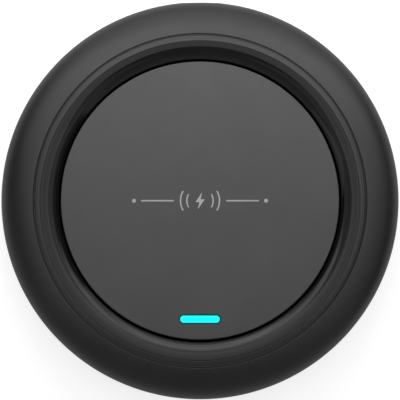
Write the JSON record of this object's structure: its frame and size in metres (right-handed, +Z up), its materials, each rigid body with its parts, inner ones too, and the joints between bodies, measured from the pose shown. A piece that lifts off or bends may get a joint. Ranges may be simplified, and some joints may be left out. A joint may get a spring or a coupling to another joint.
{
  "type": "wireless charging pad",
  "caption": "Round low pad with a dished top that charges a phone laid on it, with a soft-touch centre disc, a smooth dark bezel and casing, and an indicator light.",
  "frame": {"origin": "centre of the plane that the feet stand on", "axes": "+Z up out of the charging disc, +Y to the back where the USB-C port is, -Y to the front where the light is, +X to the right"},
  "size_m": [0.1, 0.0999, 0.014],
  "materials": {
    "shell_black": "satin black, very fine moulded texture",
    "trim_black": "semi-gloss black",
    "disc_grey": "matte dark grey, soft-touch coating",
    "base_black": "fine-textured black",
    "foot_silicone": "matte silicone rubber",
    "tape": "translucent double-sided tape",
    "light_window": "diffusing cyan acrylic, lit from below",
    "gasket_foam": "closed-cell foam",
    "coil_copper": "enamelled copper litz",
    "ferrite": "dull sintered ferrite",
    "carrier_plastic": "plain white moulding",
    "screw_steel": "zinc-plated steel",
    "sensor_epoxy": "dipped epoxy",
    "wire_tin": "tinned wire",
    "board_green": "solder mask over glass laminate",
    "port_steel": "formed stainless steel",
    "port_plastic": "glass-filled black plastic",
    "contact_gold": "gold plated",
    "package_black": "moulded component package",
    "capacitor_tan": "ceramic with fired ends",
    "crystal_can": "plated can",
    "led_phosphor": "moulded lens",
    "label_grey": "blank polyester label"
  },
  "bodies": {
    "root": {"outer_shell": "shell_black", "trim_ring": "trim_black", "retaining_ring": "shell_black", "charging_disc": "disc_grey", "disc_adhesive": "tape", "base_cover": "base_black", "foot_right": "foot_silicone", "foot_back": "foot_silicone", "foot_left": "foot_silicone", "foot_front": "foot_silicone", "foot_adhesives": "tape", "rating_label": "label_grey", "case_screws": "screw_steel", "board_screws": "screw_steel", "carrier_screws": "screw_steel", "light_guide": "light_window", "light_gasket": "gasket_foam", "transmitter_coil": "coil_copper", "coil_leads": "coil_copper", "coil_adhesive": "tape", "ferrite_shield": "ferrite", "ferrite_adhesive": "tape", "coil_carrier": "carrier_plastic", "temperature_sensor": "sensor_epoxy", "sensor_wires": "wire_tin", "main_board": "board_green", "usb_c_shell": "port_steel", "usb_c_tongue": "port_plastic", "usb_c_contacts": "contact_gold", "controller_ic": "package_black", "bridge_mosfets": "package_black", "power_inductor": "package_black", "resonant_capacitors": "capacitor_tan", "input_capacitors": "capacitor_tan", "sense_resistor": "package_black", "port_protection": "package_black", "crystal": "crystal_can", "indicator_leds": "led_phosphor", "chip_resistors": "package_black", "chip_capacitors": "capacitor_tan"}
  },
  "joints": []
}
